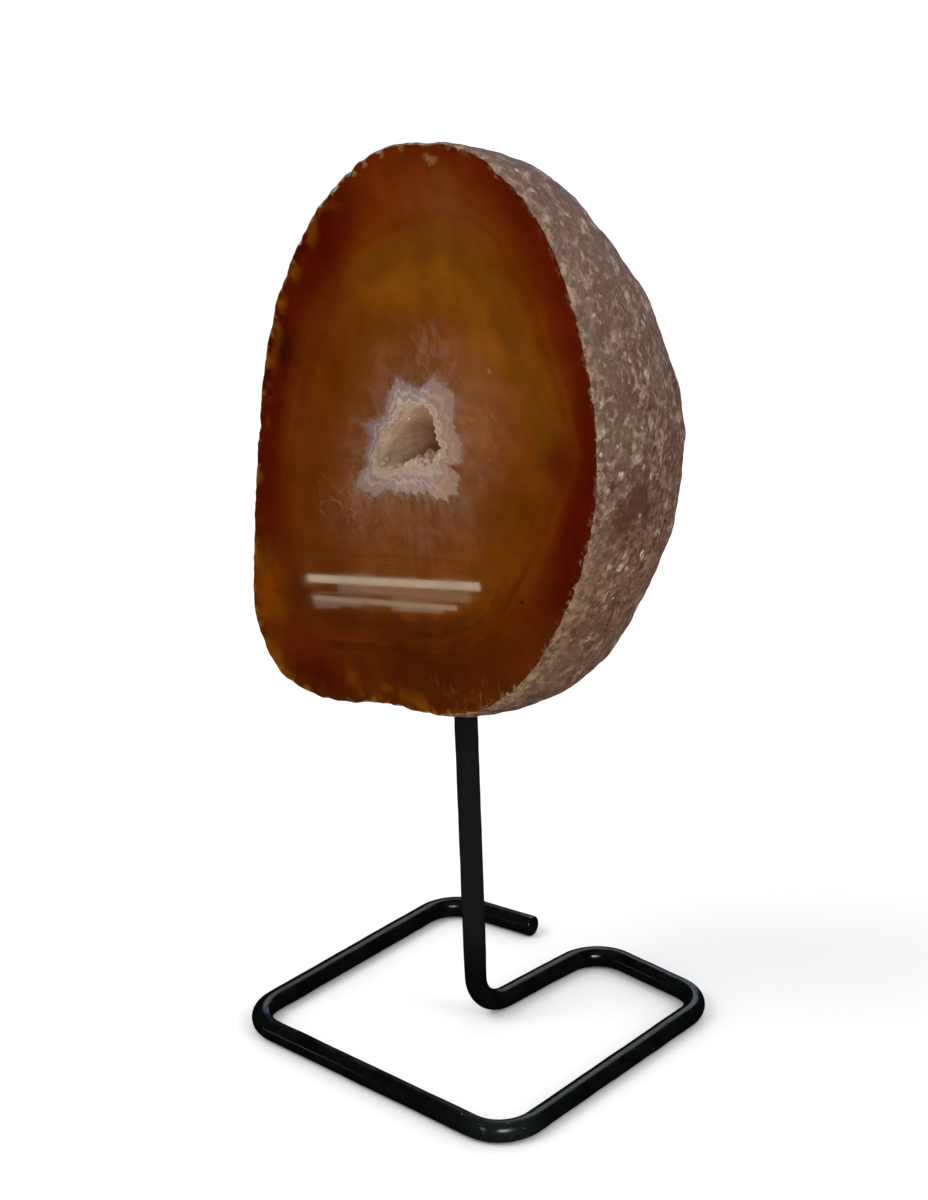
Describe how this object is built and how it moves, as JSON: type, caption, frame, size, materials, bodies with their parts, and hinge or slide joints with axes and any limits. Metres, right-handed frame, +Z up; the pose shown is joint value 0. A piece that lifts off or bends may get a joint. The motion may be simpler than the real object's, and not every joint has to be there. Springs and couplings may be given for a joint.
{
  "type": "agate nodule on wire stand",
  "caption": "Rough agate nodule with one polished flat face and a crystal hollow, held upright on a bent black wire stand.",
  "frame": {"origin": "under the middle of the whole object's box, on the surface it stands on", "axes": "+Z up along the upright, -Y the way the polished face looks, +X to the right seen from in front of that face"},
  "size_m": [0.0504, 0.0398, 0.106],
  "materials": {
    "agate": "polished amber face, matte grey-brown rough back",
    "quartz": "glassy crystal faces",
    "black_wire": "glossy black enamel"
  },
  "bodies": {
    "root": {"stone": "agate", "crystal_crust": "quartz", "wire_stand": "black_wire"}
  },
  "joints": []
}
